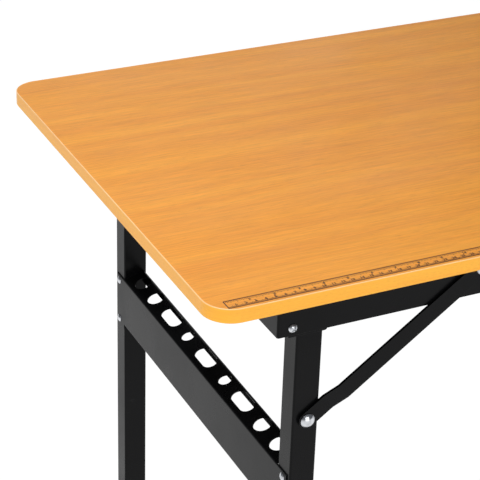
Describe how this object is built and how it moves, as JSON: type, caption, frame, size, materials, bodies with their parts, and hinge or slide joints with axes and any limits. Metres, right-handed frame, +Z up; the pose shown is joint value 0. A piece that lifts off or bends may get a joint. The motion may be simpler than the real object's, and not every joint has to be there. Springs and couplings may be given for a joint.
{
  "type": "folding drafting table",
  "caption": "Folding drawing and work table with a rounded wood-grain top, steel apron, hinged end frames with punched tool panels, and diagonal braces.",
  "frame": {"origin": "on the floor, under the middle of the top", "axes": "+X to the right along the front edge, -Y towards the user, +Z up"},
  "size_m": [1.524, 0.56, 0.711],
  "materials": {
    "wood_laminate": "satin printed laminate, golden oak grain along the length",
    "edge_band": "satin wood-tone edging",
    "black_powder_coat": "semi-gloss black powder coat",
    "zinc_fastener": "bright zinc plate",
    "foot_plastic": "moulded, fine texture"
  },
  "bodies": {
    "tabletop": {"worktop_board": "wood_laminate", "edge_band": "edge_band", "front_rail": "black_powder_coat", "rear_rail": "black_powder_coat", "left_apron": "black_powder_coat", "right_apron": "black_powder_coat", "front_rail_screws": "zinc_fastener", "rear_rail_screws": "zinc_fastener", "left_apron_screws": "zinc_fastener", "right_apron_screws": "zinc_fastener", "front_left_pivot_bolt": "zinc_fastener", "front_left_pivot_washer": "zinc_fastener", "front_left_pivot_nut": "zinc_fastener", "front_left_brace_top_rivet": "zinc_fastener", "rear_left_pivot_bolt": "zinc_fastener", "rear_left_pivot_washer": "zinc_fastener", "rear_left_pivot_nut": "zinc_fastener", "rear_left_brace_top_rivet": "zinc_fastener", "front_right_pivot_bolt": "zinc_fastener", "front_right_pivot_washer": "zinc_fastener", "front_right_pivot_nut": "zinc_fastener", "front_right_brace_top_rivet": "zinc_fastener", "rear_right_pivot_bolt": "zinc_fastener", "rear_right_pivot_washer": "zinc_fastener", "rear_right_pivot_nut": "zinc_fastener", "rear_right_brace_top_rivet": "zinc_fastener"},
    "left_leg_frame": {"left_tool_panel": "black_powder_coat", "left_panel_rivets": "zinc_fastener", "front_left_leg": "black_powder_coat", "front_left_head_plate": "black_powder_coat", "front_left_foot_cap": "foot_plastic", "front_left_brace_insert": "zinc_fastener", "rear_left_leg": "black_powder_coat", "rear_left_head_plate": "black_powder_coat", "rear_left_foot_cap": "foot_plastic", "rear_left_brace_insert": "zinc_fastener"},
    "right_leg_frame": {"right_tool_panel": "black_powder_coat", "right_panel_rivets": "zinc_fastener", "front_right_leg": "black_powder_coat", "front_right_head_plate": "black_powder_coat", "front_right_foot_cap": "foot_plastic", "front_right_brace_insert": "zinc_fastener", "rear_right_leg": "black_powder_coat", "rear_right_head_plate": "black_powder_coat", "rear_right_foot_cap": "foot_plastic", "rear_right_brace_insert": "zinc_fastener"},
    "front_left_brace_arm": {"front_left_brace": "black_powder_coat", "front_left_brace_foot_bolt": "zinc_fastener"},
    "rear_left_brace_arm": {"rear_left_brace": "black_powder_coat", "rear_left_brace_foot_bolt": "zinc_fastener"},
    "front_right_brace_arm": {"front_right_brace": "black_powder_coat", "front_right_brace_foot_bolt": "zinc_fastener"},
    "rear_right_brace_arm": {"rear_right_brace": "black_powder_coat", "rear_right_brace_foot_bolt": "zinc_fastener"}
  },
  "joints": [
    {"name": "left_leg_fold", "type": "hinge", "parent": "tabletop", "child": "left_leg_frame", "pos_m": [-0.6578, 0, 0.648], "axis": [0, -1, 0], "range_deg": [0, 90]},
    {"name": "front_left_brace_swing", "type": "hinge", "parent": "tabletop", "child": "front_left_brace_arm", "pos_m": [-0.4485, -0.2375, 0.6712], "axis": [0, -1, 0], "range_deg": [0, 130]},
    {"name": "rear_left_brace_swing", "type": "hinge", "parent": "tabletop", "child": "rear_left_brace_arm", "pos_m": [-0.4485, 0.2375, 0.6712], "axis": [0, -1, 0], "range_deg": [0, 130]},
    {"name": "right_leg_fold", "type": "hinge", "parent": "tabletop", "child": "right_leg_frame", "pos_m": [0.6578, 0, 0.648], "axis": [0, 1, 0], "range_deg": [0, 90]},
    {"name": "front_right_brace_swing", "type": "hinge", "parent": "tabletop", "child": "front_right_brace_arm", "pos_m": [0.4485, -0.2375, 0.6712], "axis": [0, 1, 0], "range_deg": [0, 130]},
    {"name": "rear_right_brace_swing", "type": "hinge", "parent": "tabletop", "child": "rear_right_brace_arm", "pos_m": [0.4485, 0.2375, 0.6712], "axis": [0, 1, 0], "range_deg": [0, 130]}
  ],
  "couplings": [
    {"joint": "front_left_brace_swing", "follows": "left_leg_fold", "ratio": 1.444},
    {"joint": "rear_left_brace_swing", "follows": "left_leg_fold", "ratio": 1.444},
    {"joint": "front_right_brace_swing", "follows": "right_leg_fold", "ratio": 1.444},
    {"joint": "rear_right_brace_swing", "follows": "right_leg_fold", "ratio": 1.444}
  ]
}
